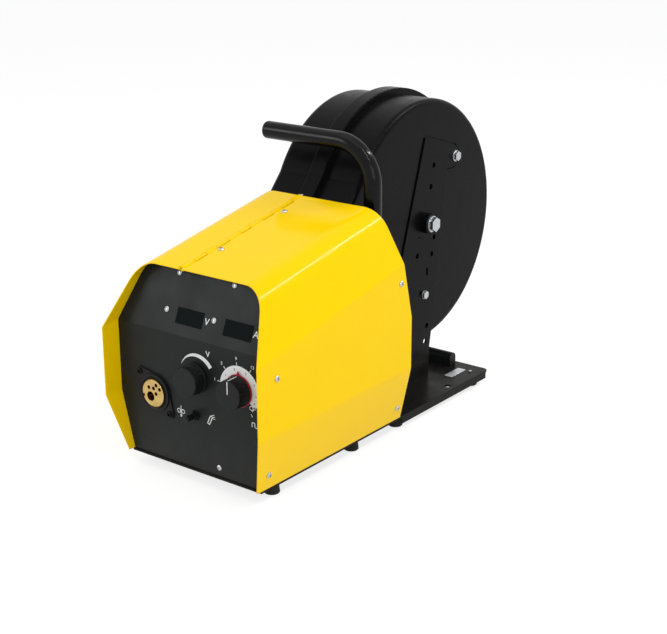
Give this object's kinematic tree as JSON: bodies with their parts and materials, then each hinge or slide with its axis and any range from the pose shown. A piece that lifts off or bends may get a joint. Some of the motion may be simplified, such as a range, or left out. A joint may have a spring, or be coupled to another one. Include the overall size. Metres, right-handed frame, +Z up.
{
  "type": "welding wire feeder",
  "caption": "Wire feeder with a folded sheet box, hinged side door over geared feed rolls, closed spool cover on a bracket, tube handle and front control panel.",
  "frame": {"origin": "on the floor, under the middle of the whole machine", "axes": "+Z up, -Y out of the control panel towards the user, +X to the user's right"},
  "size_m": [0.2701, 0.675, 0.4503],
  "materials": {
    "yellow": "semi-gloss powder coat",
    "black_coat": "satin powder coat",
    "panel_grey": "fine textured coat",
    "zinc": "zinc plated",
    "steel": "turned and hardened",
    "brass": "turned",
    "aluminium": "die cast",
    "black_plastic": "fine grain moulded",
    "knob_plastic": "moulded",
    "red_plastic": "moulded",
    "cover_plastic": "satin moulded",
    "lens": "tinted",
    "rubber": "moulded",
    "hose_rubber": "extruded",
    "board_green": "laminate",
    "grey_plastic": "moulded",
    "motor_coat": "enamel"
  },
  "bodies": {
    "frame": {"right_cover": "yellow", "hinge_rod": "zinc", "cover_screws": "zinc", "panel_screws": "zinc", "frame_screws": "zinc", "front_panel": "panel_grey", "rear_wall": "black_coat", "chassis_wall": "zinc", "deck": "black_coat", "rubber_feet": "rubber", "potentiometers": "steel", "toggle_switches": "black_plastic", "gun_connector_flange": "black_plastic", "gun_connector_socket": "brass", "display_windows": "lens", "control_board": "board_green", "lower_axles": "steel", "pivot_pins": "steel", "drive_plate": "aluminium", "wire_guides": "brass", "wire_inlet": "black_plastic", "gearbox": "aluminium", "feed_motor": "motor_coat", "gas_valve": "brass", "gas_hose": "hose_rubber", "current_lead": "hose_rubber", "power_socket": "black_plastic", "control_socket": "zinc", "gas_inlet": "brass", "handle_tube": "black_coat", "handle_plug": "black_plastic", "handle_clamps": "black_coat", "spool_bracket": "black_coat", "bracket_bolts": "zinc", "axle_bolt": "zinc", "hub_axle": "steel", "cover_hinge_pins": "steel", "spool_cover_right": "cover_plastic", "strain_relief_bar": "black_plastic"},
    "left_door": {"left_door": "yellow"},
    "door_latch_front": {"door_latch_front": "zinc"},
    "door_latch_rear": {"door_latch_rear": "zinc"},
    "voltage_knob": {"voltage_knob": "knob_plastic"},
    "speed_knob": {"speed_knob": "knob_plastic", "speed_pointer_ring": "red_plastic"},
    "inch_purge_lever": {"inch_purge_lever": "black_plastic"},
    "trigger_mode_lever": {"trigger_mode_lever": "black_plastic"},
    "drive_pinion": {"drive_pinion": "steel"},
    "lower_front_roll": {"lower_front_roll": "steel"},
    "lower_rear_roll": {"lower_rear_roll": "steel"},
    "upper_front_roll": {"upper_front_roll": "steel"},
    "upper_rear_roll": {"upper_rear_roll": "steel"},
    "pressure_arm_front": {"pressure_arm_front": "grey_plastic"},
    "pressure_arm_rear": {"pressure_arm_rear": "grey_plastic"},
    "tension_post": {"tension_post": "steel", "tension_spring": "steel"},
    "tension_knob": {"tension_knob": "black_plastic"},
    "spool_cover_left": {"spool_cover_left": "cover_plastic"},
    "spool_hub": {"spool_hub": "black_plastic"},
    "hub_catch": {"hub_catch": "red_plastic"}
  },
  "joints": [
    {"name": "door_hinge", "type": "hinge", "parent": "frame", "child": "left_door", "pos_m": [-0.0315, -0.1725, 0.30189], "axis": [0, 0.9812, 0.193], "range_deg": [0, 110]},
    {"name": "front_latch_turn", "type": "hinge", "parent": "left_door", "child": "door_latch_front", "pos_m": [-0.1325, -0.3013, 0.14], "axis": [-1, 0, 0], "range_deg": [0, 90]},
    {"name": "rear_latch_turn", "type": "hinge", "parent": "left_door", "child": "door_latch_rear", "pos_m": [-0.1325, -0.0315, 0.14], "axis": [-1, 0, 0], "range_deg": [0, 90]},
    {"name": "voltage_knob_turn", "type": "hinge", "parent": "frame", "child": "voltage_knob", "pos_m": [0.0058, -0.3175, 0.147], "axis": [0, -1, 0], "range_deg": [-135, 135]},
    {"name": "speed_knob_turn", "type": "hinge", "parent": "frame", "child": "speed_knob", "pos_m": [0.0785, -0.3175, 0.147], "axis": [0, -1, 0], "range_deg": [-135, 135]},
    {"name": "inch_purge_toggle", "type": "hinge", "parent": "frame", "child": "inch_purge_lever", "pos_m": [0.0028, -0.3123, 0.095], "axis": [0, 0, 1], "range_deg": [-12, 12], "stiffness_Nm_per_rad": 0.05},
    {"name": "trigger_mode_toggle", "type": "hinge", "parent": "frame", "child": "trigger_mode_lever", "pos_m": [0.12, -0.3123, 0.095], "axis": [1, 0, 0], "range_deg": [-12, 12]},
    {"name": "feed_drive", "type": "hinge", "parent": "frame", "child": "drive_pinion", "pos_m": [-0.057, -0.1725, 0.07971], "axis": [1, 0, 0], "continuous": true},
    {"name": "lower_front_roll_spin", "type": "hinge", "parent": "frame", "child": "lower_front_roll", "pos_m": [-0.067, -0.1965, 0.09438], "axis": [1, 0, 0], "continuous": true},
    {"name": "lower_rear_roll_spin", "type": "hinge", "parent": "frame", "child": "lower_rear_roll", "pos_m": [-0.067, -0.1485, 0.09438], "axis": [1, 0, 0], "continuous": true},
    {"name": "pressure_arm_front_lift", "type": "hinge", "parent": "frame", "child": "pressure_arm_front", "pos_m": [-0.0495, -0.2345, 0.11], "axis": [-1, 0, 0], "range_deg": [-40, 0]},
    {"name": "pressure_arm_rear_lift", "type": "hinge", "parent": "frame", "child": "pressure_arm_rear", "pos_m": [-0.0495, -0.1105, 0.11], "axis": [1, 0, 0], "range_deg": [-40, 0]},
    {"name": "upper_front_roll_spin", "type": "hinge", "parent": "pressure_arm_front", "child": "upper_front_roll", "pos_m": [-0.067, -0.1965, 0.12562], "axis": [1, 0, 0], "continuous": true},
    {"name": "upper_rear_roll_spin", "type": "hinge", "parent": "pressure_arm_rear", "child": "upper_rear_roll", "pos_m": [-0.067, -0.1485, 0.12562], "axis": [1, 0, 0], "continuous": true},
    {"name": "tension_post_swing", "type": "hinge", "parent": "frame", "child": "tension_post", "pos_m": [-0.0495, -0.1725, 0.115], "axis": [0, 1, 0], "range_deg": [0, 40]},
    {"name": "tension_knob_turn", "type": "hinge", "parent": "tension_post", "child": "tension_knob", "pos_m": [-0.08807, -0.1725, 0.16096], "axis": [-0.6428, 0, 0.766], "range_deg": [0, 360]},
    {"name": "spool_cover_hinge", "type": "hinge", "parent": "frame", "child": "spool_cover_left", "pos_m": [-0.046, 0.3315, 0.2593], "axis": [0, 0, -1], "range_deg": [0, 100]},
    {"name": "spool_hub_spin", "type": "hinge", "parent": "frame", "child": "spool_hub", "pos_m": [-0.02, 0.1465, 0.2593], "axis": [1, 0, 0], "continuous": true},
    {"name": "hub_catch_turn", "type": "hinge", "parent": "spool_hub", "child": "hub_catch", "pos_m": [-0.075, 0.1585, 0.2593], "axis": [1, 0, 0], "range_deg": [0, 180]}
  ],
  "couplings": [
    {"joint": "lower_front_roll_spin", "follows": "feed_drive", "ratio": -0.8},
    {"joint": "lower_rear_roll_spin", "follows": "feed_drive", "ratio": -0.8},
    {"joint": "upper_front_roll_spin", "follows": "feed_drive", "ratio": 0.8},
    {"joint": "upper_rear_roll_spin", "follows": "feed_drive", "ratio": 0.8}
  ]
}
